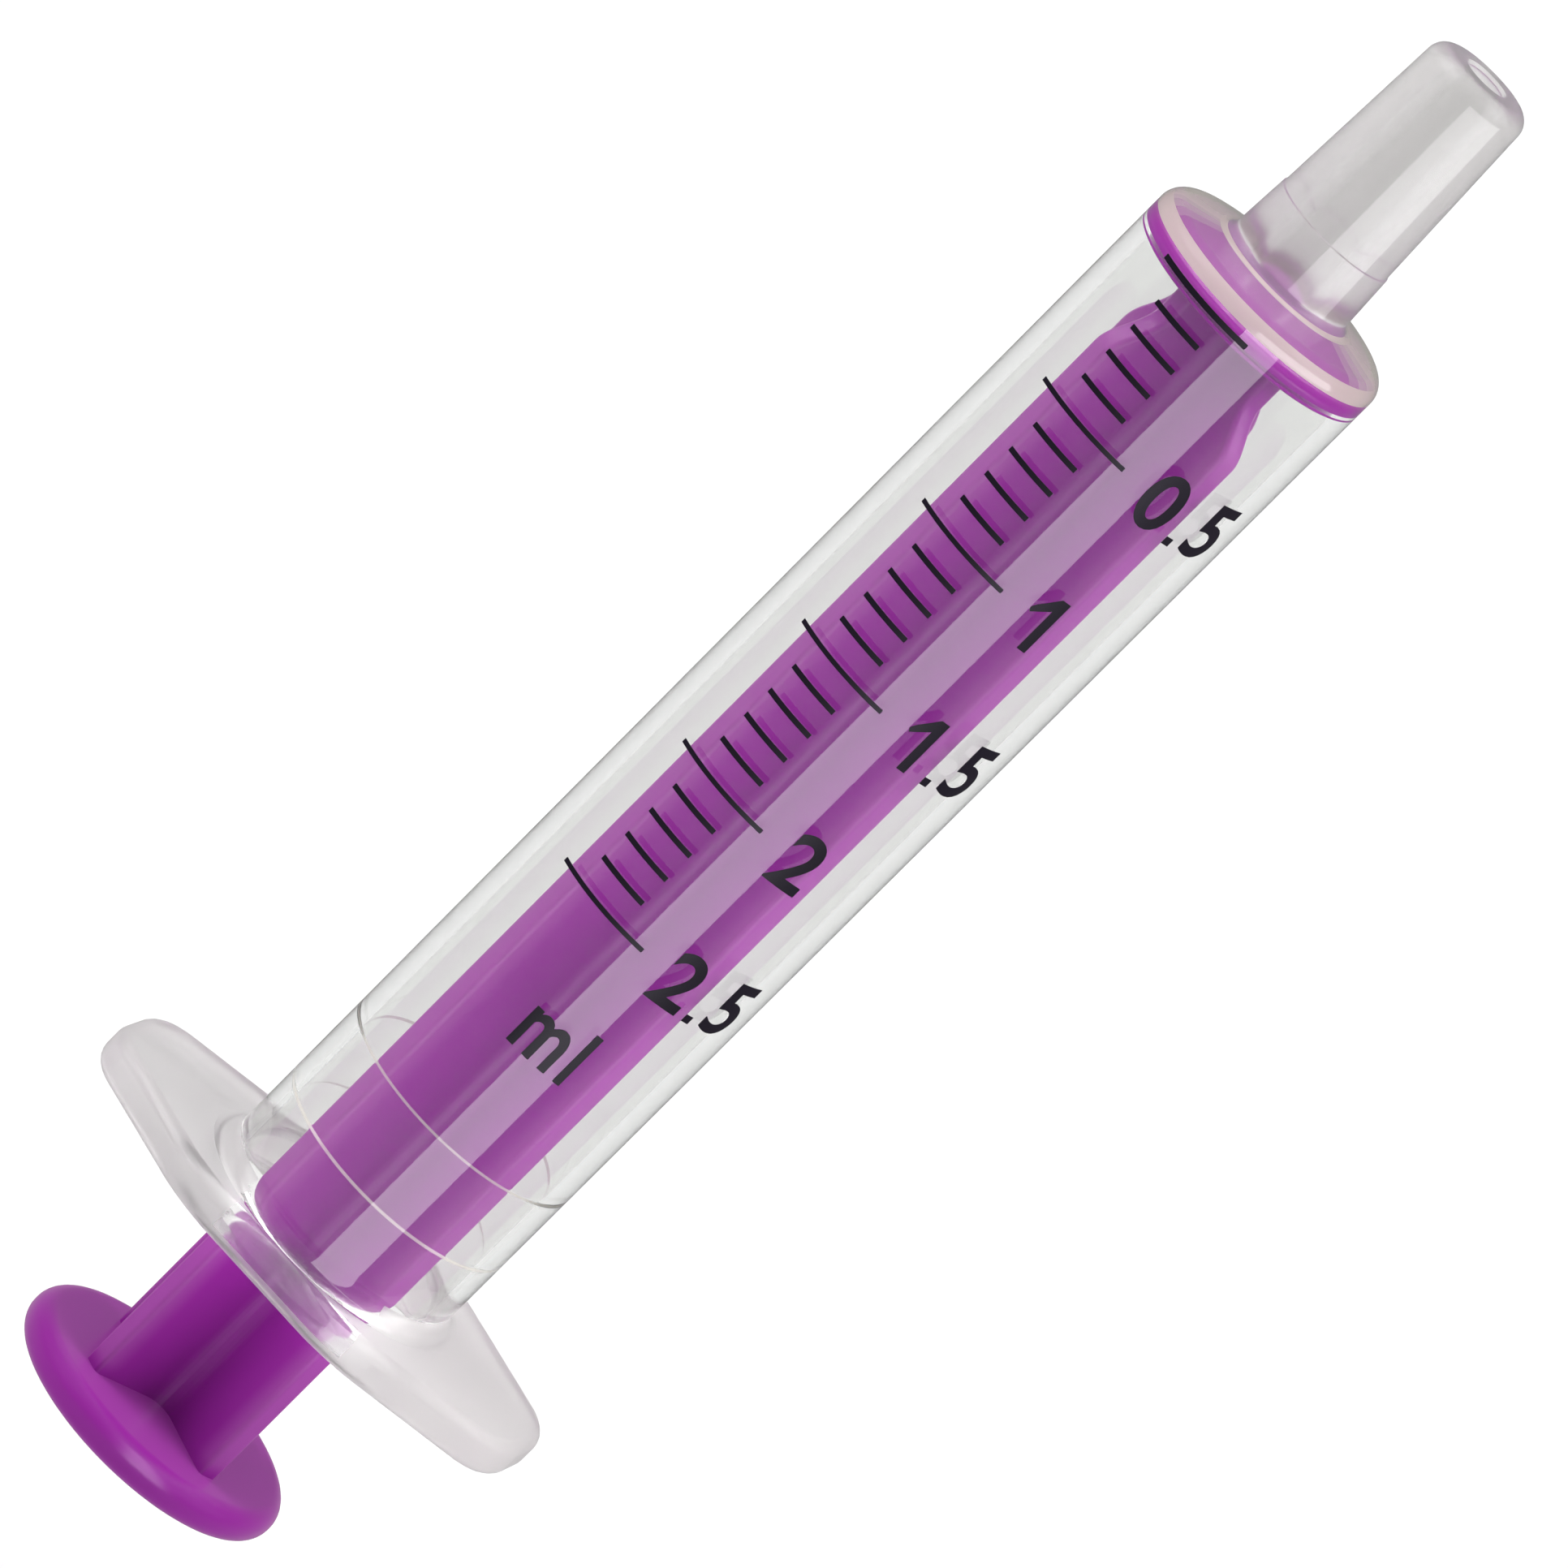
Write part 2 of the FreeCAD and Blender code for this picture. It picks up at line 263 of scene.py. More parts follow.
edges_where(flange, upright_at(corner_x - 0.1, corner_x + 0.1))
bpy.ops.mesh.bevel(offset=flat_bevel * MM, segments=10, affect="EDGES", clamp_overlap=True)
edges_where(flange, upright_at(wing_slope_x - 0.1, wing_x + 0.1))
bpy.ops.mesh.bevel(offset=wing_bevel * MM, segments=7, affect="EDGES", clamp_overlap=True)
clean()

# Round both rims: step the end face inwards and outwards along a quarter circle.
RIM_STEPS = 6
for side in (1, -1):
    bpy.ops.mesh.select_mode(type="FACE")
    bpy.ops.mesh.select_all(action="DESELECT")
    bpy.ops.object.mode_set(mode="OBJECT")
    for face in flange.data.polygons:
        face.select = face.normal.z * side > 0.9
    bpy.ops.object.mode_set(mode="EDIT")
    for i in range(RIM_STEPS):
        low_turn = 0.5 * math.pi * i / RIM_STEPS
        high_turn = 0.5 * math.pi * (i + 1) / RIM_STEPS
        inwards = flange_round * (math.cos(low_turn) - math.cos(high_turn))
        outwards = flange_round * (math.sin(high_turn) - math.sin(low_turn))
        bpy.ops.mesh.inset(thickness=inwards * MM, use_even_offset=True)
        bpy.ops.transform.translate(value=(0, 0, side * outwards * MM))
clean()
bpy.ops.object.mode_set(mode="OBJECT")
report(flange)

# %% Turn the hollow, then join and cut
ridge_high, ridge_low, ridge_r, ridge_slope = 18.90, 15.00, 4.84, 0.12
entry_r = 4.90
bore_corner = 0.35
end_rise = 0.70                 # the closed end rises towards the outlet, as the shoulder does
bore_end = 63.85
outlet_land = 1.60
outlet_base_r = 1.20
entry_chamfer = 0.40
outlet_chamfer = 0.12
past_end = 1.0                  # the cutting tool runs this far out of both ends
mouth_r = entry_r + entry_chamfer
hollow = [(0.0, flange_z - past_end), (mouth_r, flange_z - past_end), (mouth_r, flange_z)]
hollow += [(entry_r, flange_z + entry_chamfer), (entry_r, ridge_low)]
hollow += [(ridge_r, ridge_low + ridge_slope), (ridge_r, ridge_high - ridge_slope)]
hollow += [(bore_r, ridge_high)]
hollow += arc(bore_r - bore_corner, bore_end - bore_corner, bore_corner, 0, 90, 4)
hollow += [(outlet_base_r, bore_end + end_rise), (outlet_r, tip_z - outlet_land)]
hollow += [(outlet_r, tip_z - outlet_chamfer), (outlet_r + outlet_chamfer, tip_z)]
hollow += [(outlet_r + outlet_chamfer, tip_z + past_end), (0.0, tip_z + past_end)]
hollow = lathe("hollow", hollow)
boolean(barrel, flange, "UNION")
boolean(barrel, hollow, "DIFFERENCE")
select_only(barrel)
bpy.ops.object.mode_set(mode="EDIT")
clean(2e-7)
bpy.ops.object.mode_set(mode="OBJECT")
smooth(barrel)
report(barrel)

# %% [markdown]
# ## The plunger
#
# The rod starts as a thin square bar. Its four sides are extruded into vanes, rows are cut
# across it where the vanes draw in behind the piston, and the vane tips of those rows are moved
# in along a smooth curve. The long edges are then rounded, the outer ones as a mould parts
# them, the inner ones with a fillet. The thumb disc and the piston are turned and joined on.

# %% Make the rod of four vanes
neck_r = 3.40
neck_start = 59.2
neck_end = 61.6
piston_rear = 63.10
vane_angle = -35.5              # direction of the first vane, degrees from +X
tip_bevel = 0.24
valley_bevel = 0.90
rod_low = thumb_t - 0.3         # both ends run a little way into the disc and the piston
rod_high = piston_rear + 0.2

bpy.ops.object.select_all(action="DESELECT")
bpy.ops.mesh.primitive_cube_add(size=MM, location=(0, 0, 0.5 * (rod_low + rod_high) * MM))
plunger = bpy.context.object
plunger.name = "purple_plunger"
plunger.scale = (vane_t, vane_t, rod_high - rod_low)
bpy.ops.object.transform_apply(location=True, rotation=True, scale=True)
bpy.ops.object.mode_set(mode="EDIT")
bpy.ops.mesh.select_mode(type="FACE")
bpy.ops.mesh.select_all(action="DESELECT")
bpy.ops.object.mode_set(mode="OBJECT")
for face in plunger.data.polygons:
    face.select = abs(face.normal.z) < 0.5
bpy.ops.object.mode_set(mode="EDIT")
reach = (vane_r - vane_t / 2) * MM
bpy.ops.mesh.extrude_faces_move(TRANSFORM_OT_shrink_fatten={"value": reach})

NECK_ROWS = 12
rows = [neck_start + (neck_end - neck_start) * i / NECK_ROWS for i in range(NECK_ROWS + 1)]
for z in rows:
    bpy.ops.mesh.select_all(action="SELECT")
    bpy.ops.mesh.bisect(plane_co=(0, 0, z * MM), plane_no=(0, 0, 1))


def drawn_in(z):
    """How far the vane tips draw in at this height: a smooth S from nothing to the neck."""
    t = min(1.0, max(0.0, (z - neck_start) / (neck_end - neck_start)))
    return (vane_r - neck_r) * t * t * (3 - 2 * t)


for z in rows[1:] + [rod_high]:
    for out in (Vector((1, 0, 0)), Vector((0, 1, 0)), Vector((-1, 0, 0)), Vector((0, -1, 0))):
        bpy.ops.mesh.select_all(action="DESELECT")
        bpy.ops.object.mode_set(mode="OBJECT")
        for v in plunger.data.vertices:
            at = v.co / MM
            v.select = abs(at.z - z) < 0.01 and at.dot(out) > vane_r - 0.05
        bpy.ops.object.mode_set(mode="EDIT")
        bpy.ops.mesh.select_mode(type="VERT")
        bpy.ops.transform.translate(value=out * -drawn_in(z) * MM)

half_t = vane_t / 2


def along_tip(a, b):
    """True for the long outer edges of the vanes."""
    far = min(max(abs(a.x), abs(a.y)), max(abs(b.x), abs(b.y))) > neck_r - 0.1
    same_side = abs(a.x - b.x) < 1e-3 or abs(a.y - b.y) < 1e-3
    return far and abs(a.z - b.z) > 0.05 and same_side


def along_valley(a, b):
    """True for the four long inner edges where two vanes meet."""
    near = all(abs(abs(c) - half_t) < 1e-3 for c in (a.x, a.y, b.x, b.y))
    return near and abs(a.z - b.z) > 0.05


count = edges_where(plunger, along_tip)
bpy.ops.mesh.bevel(offset=tip_bevel * MM, segments=4, affect="EDGES")
print("outer edges rounded:", count)
count = edges_where(plunger, along_valley)
bpy.ops.mesh.bevel(offset=valley_bevel * MM, segments=8, affect="EDGES")
print("inner edges rounded:", count)
clean()
bpy.ops.transform.rotate(
    value=math.radians(-vane_angle), orient_axis="Z", center_override=(0, 0, 0))
bpy.ops.object.mode_set(mode="OBJECT")
tip_at = max(plunger.data.vertices, key=lambda v: v.co.x).co
print("first vane points to", round(math.degrees(math.atan2(tip_at.y, tip_at.x)), 1), "degrees")

# %% Turn the thumb disc and the piston, and join them on
thumb_round = 0.75
disc = [(0.0, 0.0)]
disc += arc(thumb_r - thumb_round, thumb_round, thumb_round, 270, 360, 9)
disc += arc(thumb_r - thumb_round, thumb_t - thumb_round, thumb_round, 0, 90, 9)
disc += [(0.0, thumb_t)]
disc = lathe("thumb_disc", disc)

press = 0.008                   # how far the soft piston presses into the barrel
lip_r = bore_r + press
groove_r = 4.76
nub_slope = (outlet_base_r - outlet_r) / (tip_z - outlet_land - bore_end - end_rise)
nub_foot = bore_end + end_rise
nub_shoulder = nub_z - 0.3
nub_top_r = outlet_base_r - nub_slope * (nub_shoulder - nub_foot) + press
rear_lip_end = piston_rear + 0.13
front_lip_start = zero_z - 0.22
lip_slope = 0.04
piston = [(0.0, piston_rear), (lip_r - 0.05, piston_rear), (lip_r, piston_rear + 0.05)]
piston += [(lip_r, rear_lip_end), (groove_r, rear_lip_end + lip_slope)]
piston += [(groove_r, front_lip_start - lip_slope), (lip_r, front_lip_start)]
piston += [(lip_r, bore_end - bore_corner)]
piston += arc(bore_r - bore_corner, bore_end - bore_corner, bore_corner + press, 8, 88, 4)
piston += [(outlet_base_r + 0.06, nub_foot + press)]
piston += [(outlet_base_r + press, nub_foot + 0.04), (nub_top_r, nub_shoulder)]
piston += [(nub_top_r - 0.09, nub_z - 0.09), (nub_top_r - 0.3, nub_z), (0.0, nub_z)]
piston = lathe("piston", piston)
boolean(plunger, disc, "UNION")
boolean(plunger, piston, "UNION")
smooth(plunger)
report(plunger)

# %% [markdown]
# ## The printed scale
#
# A pad prints the scale on the barrel as a film of ink. Each line is a small rectangle spun part
# of the way round. One long line and one short line are made, and the rest are copies with
# meshes of their own. The numerals are text made into mesh, cut into narrow strips so that it
# can follow the curve, and wrapped round the barrel.

# %% Print the lines
ink_t = 0.02
ink_in = barrel_r - 0.006       # a little way into the wall, so that no gap shows
ink_out = barrel_r + ink_t
front = -82.5                   # middle of the printed side, degrees from +X
long_span = (-43.0, 7.8)        # where a line starts and ends, degrees from the middle
short_span = (-30.7, -5.1)
zero_width, long_width, short_width = 0.24, 0.20, 0.23
LINES_PER_HALF = 5
LINES = 25


def printed_line(name, z, span, width):
    """A thin band of ink part of the way round the barrel."""
    low, high = z - width / 2, z + width / 2
    start = math.radians(front + span[0])
    box = [(ink_in, low), (ink_out, low), (ink_out, high), (ink_in, high), (ink_in, low)]
    line = pen(name, [(r * math.cos(start), r * math.sin(start), h) for r, h in box])
    clean()
    bpy.ops.mesh.edge_face_add()
    turn = math.radians(span[1] - span[0])
    steps = max(8, round(turn * SIDES / (2 * math.pi)))
    bpy.ops.mesh.spin(steps=steps, angle=turn, center=(0, 0, 0), axis=(0, 0, -1))
    clean()
    bpy.ops.object.mode_set(mode="OBJECT")
    return line


def copies(first, name, heights):
    """Copies of a line made at the zero line's height, lowered to each height, as one piece."""
    made = []
    for z in heights:
        one = first.copy()
        one.data = first.data.copy()
        one.data.transform(Matrix.Translation((0, 0, (z - zero_z) * MM)))
        bpy.context.collection.objects.link(one)
        made.append(one)
    bpy.data.objects.remove(first)
    bpy.ops.object.select_all(action="DESELECT")
    for one in made:
        one.select_set(True)
    bpy.context.view_layer.objects.active = made[0]
    bpy.ops.object.join()
    made[0].name = name
    return made[0]


zero_ink = printed_line("ink_zero_line", zero_z, long_span, zero_width)
heights = {i: zero_z - line_step * i for i in range(1, LINES + 1)}
half_heights = [z for i, z in heights.items() if i % LINES_PER_HALF == 0]
tenth_heights = [z for i, z in heights.items() if i % LINES_PER_HALF]
long_line = printed_line("long", zero_z, long_span, long_width)
half_ink = copies(long_line, "ink_half_lines", half_heights)
short_line = printed_line("short", zero_z, short_span, short_width)
tenth_ink = copies(short_line, "ink_tenth_lines", tenth_heights)
report(half_ink)
report(tenth_ink)

# %% Print the numerals and the unit
STRIP = 0.12                    # width of the strips that follow the curve
digit_high = 2.60
digit_wide = 1.64
stroke = 0.40


def flat_mark(mark, wide, high):
    """One printed mark as a flat solid: x from 0 to wide, y from 0 to high, z from 0 to 1."""
    if mark == "1":
        notch = 0.60 * high
        left = wide - stroke
        plan = [(left, 0), (wide, 0), (wide, high), (left, high), (0.15, notch + 0.30)]
        plan += [(0, notch + 0.05), (0.10, notch - 0.12), (left, high - 0.62)]
    elif mark == ".":
        plan = [(0, 0), (wide, 0), (wide, high), (0, high)]
    if mark in "1.":
        obj = pen("mark", [(x, y, 0) for x, y in plan + plan[:1]])
        clean()
        bpy.ops.mesh.edge_face_add()
        bpy.ops.mesh.extrude_region_move(TRANSFORM_OT_translate={"value": (0, 0, 1)})
        clean()
        bpy.ops.object.mode_set(mode="OBJECT")
        return obj
    bpy.ops.object.select_all(action="DESELECT")
    bpy.ops.object.text_add(location=(0, 0, 0))
    obj = bpy.context.object
    obj.data.body = mark
    obj.data.extrude = 0.5
    obj.data.offset = 0.018     # makes the strokes bolder
    obj.data.resolution_u = 6
    bpy.ops.object.convert(target="MESH")
    low = [min(v.co[i] for v in obj.data.vertices) for i in range(3)]
    high_end = [max(v.co[i] for v in obj.data.vertices) for i in range(3)]
    for v in obj.data.vertices:
        share = [(v.co[i] - low[i]) / (high_end[i] - low[i]) for i in range(3)]
        v.co = (share[0] * wide * MM, share[1] * high * MM, share[2])
    return obj


def printed(name, z_middle, marks):
    """Marks wrapped round the barrel. Each is (mark, first angle, width, height)."""
    made = []
    for mark, start, wide, high in marks:
        obj = flat_mark(mark, wide, high)
        select_only(obj)
        bpy.ops.object.mode_set(mode="EDIT")
        for i in range(1, int(wide / STRIP) + 1):
            bpy.ops.mesh.select_all(action="SELECT")
            bpy.ops.mesh.bisect(plane_co=(i * STRIP * MM, 0, 0), plane_no=(1, 0, 0))
        clean()
        bpy.ops.object.mode_set(mode="OBJECT")
        for v in obj.data.vertices:
            angle = math.radians(front + start) + v.co.x / MM / barrel_r
            r = ink_out if v.co.z > 0.5 else ink_in
            height = z_middle - digit_high / 2 + v.co.y / MM
            v.co = Vector((r * math.cos(angle), r * math.sin(angle), height)) * MM
        made.append(obj)
    bpy.ops.object.select_all(action="DESELECT")
    for obj in made:
        obj.select_set(True)
    bpy.context.view_layer.objects.active = made[0]
    if len(made) > 1:
        bpy.ops.object.join()
    made[0].name = name
    report(made[0])
    return made[0]


first_at, point_at, last_at = 20.0, 41.2, 49.8      # degrees from the middle of the print
one_wide = 1.20                 # a one is narrower than the other digits
point_size = 0.36
point = (".", point_at, point_size, point_size)
five = ("5", last_at, digit_wide, digit_high)


def first_mark(mark):
    """A whole-number mark in the first place."""
    return (mark, first_at, one_wide if mark == "1" else digit_wide, digit_high)


numerals = {}
for z, whole, half in zip(half_heights, "01122", (True, False, True, False, True)):
    node = "numeral_" + whole + ("_5" if half else "")
    marks = [first_mark(whole)] + ([point, five] if half else [])
    numerals[node] = printed("ink_" + node, z, marks)
unit_z = 0.5 * (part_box("unit_mark")[0][2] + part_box("unit_mark")[1][2]) / MM
unit_marks = [("m", -6.0, 2.0, 1.90), ("l", 19.0, 0.34, 2.60)]
unit_ink = printed("ink_unit_mark", unit_z, unit_marks)

# %% [markdown]
# ## Materials
#
# Moulded plastic is never quite even: the tool leaves a faint texture, and the gloss drifts a
# little along the part. One node group makes both, and each plastic places it with its own
# values.

# %% Build the shared mould-surface group
surface = bpy.data.node_groups.new("mould_surface", "ShaderNodeTree")
for name, value in (("Scale", 900.0), ("Gloss", 0.1), ("Gloss Drift", 0.03)):
    socket = surface.interface.new_socket(name=name, in_out="INPUT", socket_type="NodeSocketFloat")
    socket.default_value = value
for name in ("Roughness", "Height"):
    surface.interface.new_socket(name=name, in_out="OUTPUT", socket_type="NodeSocketFloat")
nodes, links = surface.nodes, surface.links
inputs = nodes.new("NodeGroupInput")
outputs = nodes.new("NodeGroupOutput")
where = nodes.new("ShaderNodeTexCoord")
fine = nodes.new("ShaderNodeTexNoise")
fine.inputs["Detail"].default_value = 3.0
broad = nodes.new("ShaderNodeTexNoise")
broad.inputs["Scale"].default_value = 160.0
broad.inputs["Detail"].default_value = 1.0
links.new(where.outputs["Object"], fine.inputs["Vector"])
links.new(where.outputs["Object"], broad.inputs["Vector"])
links.new(inputs.outputs["Scale"], fine.inputs["Scale"])
links.new(fine.outputs["Fac"], outputs.inputs["Height"])
drift = nodes.new("ShaderNodeMath")
drift.operation = "MULTIPLY_ADD"
links.new(broad.outputs["Fac"], drift.inputs[0])
links.new(inputs.outputs["Gloss Drift"], drift.inputs[1])
links.new(inputs.outputs["Gloss"], drift.inputs[2])
links.new(drift.outputs["Value"], outputs.inputs["Roughness"])


# %% Start a material and place the group in it
def new_material(name):
    """An empty node material and its Principled shader and output."""
    material = bpy.data.materials.new(name)
    material.use_nodes = True
    tree = material.node_tree
    return material, tree, tree.nodes["Principled BSDF"], tree.nodes["Material Output"]


def place_surface(tree, shader, scale, gloss, drift_by, bump_strength, bump_distance):
    """Put the mould-surface group in a material and wire it to roughness and normal."""
    group = tree.nodes.new("ShaderNodeGroup")
    group.node_tree = surface
    group.inputs["Scale"].default_value = scale
    group.inputs["Gloss"].default_value = gloss
    group.inputs["Gloss Drift"].default_value = drift_by
    bump = tree.nodes.new("ShaderNodeBump")
    bump.inputs["Strength"].default_value = bump_strength
    bump.inputs["Distance"].default_value = bump_distance
    tree.links.new(group.outputs["Height"], bump.inputs["Height"])
    tree.links.new(bump.outputs["Normal"], shader.inputs["Normal"])
    tree.links.new(group.outputs["Roughness"], shader.inputs["Roughness"])


# %% [markdown]
# ## Clear plastic, clear and cloudy
#
# The barrel is natural polypropylene. Its thin wall is clear and bends light, with a slight grey
# tint. The thick flange and the nozzle of the same moulding are cloudier. The rounded corner, the
# nozzle's foot ring, the ridge's two slopes and the far side of the closed end get paler, cloudier
# plastic as painted light, for the pale look that the light gives them there. So one function
# makes
# a whole range: what a plastic doesn't let through clearly, it scatters. Lamps reach what is
# inside through a Light Path mix, which stands in for the focused light that a renderer finds only
# slowly.

# %% Make the barrel's plastics
PLASTIC_IOR = 1.49
LAMP_SHARE = 0.90               # how much of a lamp's light gets through one skin


def polypropylene(name, clearness, gloss, tint, coat=1.0):
    """Plastic that is clear by the share given, and scatters the rest of the light."""
    material, tree, shader, output = new_material(name)
    shader.inputs["Base Color"].default_value = tint + (1,)
    shader.inputs["Transmission Weight"].default_value = clearness
    shader.inputs["IOR"].default_value = PLASTIC_IOR
    shader.inputs["Coat Weight"].default_value = coat
    shader.inputs["Coat Roughness"].default_value = 0.03
    shader.inputs["Coat IOR"].default_value = PLASTIC_IOR
    place_surface(tree, shader, 500.0, gloss, 0.02, 0.02, 0.00002)
    light_path = tree.nodes.new("ShaderNodeLightPath")
    through = tree.nodes.new("ShaderNodeBsdfTransparent")
    through.inputs["Color"].default_value = (LAMP_SHARE, LAMP_SHARE, LAMP_SHARE, 1)
    mix = tree.nodes.new("ShaderNodeMixShader")
    tree.links.new(light_path.outputs["Is Shadow Ray"], mix.inputs[0])
    tree.links.new(shader.outputs["BSDF"], mix.inputs[1])
    tree.links.new(through.outputs["BSDF"], mix.inputs[2])
    tree.links.new(mix.outputs["Shader"], output.inputs["Surface"])
    return material


clear = polypropylene("clear_polypropylene", 1.0, 0.03, (0.84, 0.845, 0.835), 0.0)
mouth = polypropylene("mouth_polypropylene", 0.98, 0.06, (0.84, 0.84, 0.83), 0.0)
# The corner plastic is painted light: a pale cream, cloudy plastic for the pale look of the
# rounded corner and of the nozzle's foot ring.
painted_pale_corner = polypropylene("corner_polypropylene", 0.30, 0.22, (0.78, 0.70, 0.61))
milky = polypropylene("flange_polypropylene", 0.64, 0.32, (0.79, 0.77, 0.77), 0.0)
flange_side = polypropylene("flange_side_polypropylene", 0.87, 0.13, (0.84, 0.82, 0.83), 0.0)
nozzle = polypropylene("nozzle_polypropylene", 0.72, 0.26, (0.66, 0.645, 0.64))

END_STEPS = 5                   # the closed end goes from clear to painted pale in this many steps
# Painted light: away from the printed side each step is paler, warmer and cloudier, for the pale
# look of the closed end where the piston does not touch it.
closed_end_painted_pale = []
for i in range(END_STEPS):
    share = i / (END_STEPS - 1)
    tint = (0.80, 0.80 - 0.08 * share, 0.74 - 0.10 * share)
    name = "end_polypropylene_" + str(i + 1)
    closed_end_painted_pale.append(polypropylene(name, 0.86 - 0.50 * share, 0.08 + 0.12 * share, tint, share))
# The middle step also paints light lines on the ridge's two slopes.
painted_ridge_lines = closed_end_painted_pale[2]
plastics = [clear, mouth, painted_pale_corner, milky, flange_side, nozzle] + closed_end_painted_pale
print(len(plastics), "plastics for the barrel")

# %% [markdown]
# ## Purple plastic
#
# The plunger is polyethylene with a deep purple dye. Its colour is painted lighter and pinker at
# the vanes' tips, as painted light on the exposed tips with painted shade left in the valleys
# between the vanes, and where it is seen edge-on, as a painted sheen. A mask on the distance from
# the axis finds the tips, and Layer Weight finds the edges. The larger of the two leads from the
# deep colour to the light one.


# %% Helpers for masks
def ramp_between(tree, source, start, end, amount):
    """A soft mask that rises from nothing to an amount between two places in millimetres."""
    node = tree.nodes.new("ShaderNodeMapRange")
    node.interpolation_type = "SMOOTHSTEP"
    node.inputs["From Min"].default_value = start * MM
    node.inputs["From Max"].default_value = end * MM
    node.inputs["To Max"].default_value = amount
    tree.links.new(source, node.inputs["Value"])
    return node.outputs["Result"]


def combined(tree, operation, first, second):
    """Two values put together by a math operation."""
    node = tree.nodes.new("ShaderNodeMath")
    node.operation = operation
    tree.links.new(first, node.inputs[0])
    tree.links.new(second, node.inputs[1])
    return node.outputs["Value"]


# %% Make the purple plastic
# deep_purple is the dye's own colour. The light purple is painted light: lit vane tips, and a
# painted sheen where the plastic is seen edge-on.
deep_purple = (0.280, 0.018, 0.305, 1)
painted_light_purple = (0.54, 0.19, 0.51, 1)
tip_painted_light_share = 0.22                # how far the painted light on the vanes' tips goes towards the light colour
tip_fade_r = 3.3                # the painted light on the tips starts this far from the axis
disc_fade = 0.8                 # height above the disc over which the tips' painted light comes in

purple, tree, shader, output = new_material("purple_polyethylene")
shader.inputs["IOR"].default_value = 1.50
shader.inputs["Specular IOR Level"].default_value = 0.30
where = tree.nodes.new("ShaderNodeTexCoord")
apart = tree.nodes.new("ShaderNodeSeparateXYZ")
tree.links.new(where.outputs["Object"], apart.inputs["Vector"])
across = tree.nodes.new("ShaderNodeCombineXYZ")
tree.links.new(apart.outputs["X"], across.inputs["X"])
tree.links.new(apart.outputs["Y"], across.inputs["Y"])
radius = tree.nodes.new("ShaderNodeVectorMath")
radius.operation = "LENGTH"
tree.links.new(across.outputs["Vector"], radius.inputs[0])
# Painted light and shade: the tips lighten away from the axis, so the valleys between the vanes
# stay deep as painted shade. This fades out at the disc and at the piston.
tips = ramp_between(tree, radius.outputs["Value"], tip_fade_r, vane_r, tip_painted_light_share)
above_disc = ramp_between(tree, apart.outputs["Z"], thumb_t, thumb_t + disc_fade, 1.0)
below_piston = ramp_between(tree, apart.outputs["Z"], piston_rear, neck_end, 1.0)
tips = combined(tree, "MULTIPLY", combined(tree, "MULTIPLY", tips, above_disc), below_piston)

# Painted sheen: faces seen edge-on are painted towards the light colour.
edge_on = tree.nodes.new("ShaderNodeLayerWeight")
edge_on.inputs["Blend"].default_value = 0.5
painted_sheen = tree.nodes.new("ShaderNodeMath")
painted_sheen.operation = "POWER"
painted_sheen.inputs[1].default_value = 4.0
tree.links.new(edge_on.outputs["Facing"], painted_sheen.inputs[0])
painted_light_mask = combined(tree, "MAXIMUM", painted_sheen.outputs["Value"], tips)
colour = tree.nodes.new("ShaderNodeMix")
colour.data_type = "RGBA"
colour.inputs["A"].default_value = deep_purple
colour.inputs["B"].default_value = painted_light_purple
tree.links.new(painted_light_mask, colour.inputs["Factor"])
tree.links.new(colour.outputs["Result"], shader.inputs["Base Color"])
place_surface(tree, shader, 900.0, 0.22, 0.06, 0.05, 0.00002)

# %% Make the ink
ink, tree, shader, output = new_material("printing_ink")
shader.inputs["Base Color"].default_value = (0.008, 0.004, 0.014, 1)
shader.inputs["IOR"].default_value = 1.45
shader.inputs["Specular IOR Level"].default_value = 0.25
place_surface(tree, shader, 2500.0, 0.45, 0.10, 0.10, 0.00001)

# %% [markdown]
# ## Dress each piece and tie it to its body
#
# Each visual piece takes the place of its CAD node, wears the material listed for it, and rides on
# the same body, so that it moves with the slide. The barrel's faces first choose among its
# plastics by their place. The closed end fades from clear on the printed side, where the piston
# touches it, to paler, cloudier plastic on the far side, as painted light for the pale look of the
# end where the piston does not touch it.

# %% Choose the plastic of each part of the barrel
printed_side = math.radians(front)
corner_low = shoulder_z - shoulder_round - 1.1 * GUARD
corner_middle = shoulder_z - 0.29 * shoulder_round
foot_ring_t = 0.12
rod_shows = 3.5                 # half width of the part of the flange that the rod shows through
end_clear = 0.60                # how squarely a face must look to the printed side to stay clear
end_fade = 0.13                 # how much less of that makes the next cloudier step
NEAR = 0.02                     # faces this close to a limit still count as inside it


def on_ridge_step(z):
    """True for the two short slopes where the retaining ridge starts and ends."""
    return any(low < z < low + ridge_slope for low in (ridge_low, ridge_high - ridge_slope))


def flange_plastic(r, z, aside):
    """The plastic of the flange and its root, seen aside from the middle of the print."""
    if aside < rod_shows:
        if z > flange_top + NEAR or r < barrel_r + NEAR:
            return clear
        return flange_side if z > flange_z + flange_round else milky
    return milky if r > barrel_r + NEAR or z < flange_z + NEAR else clear


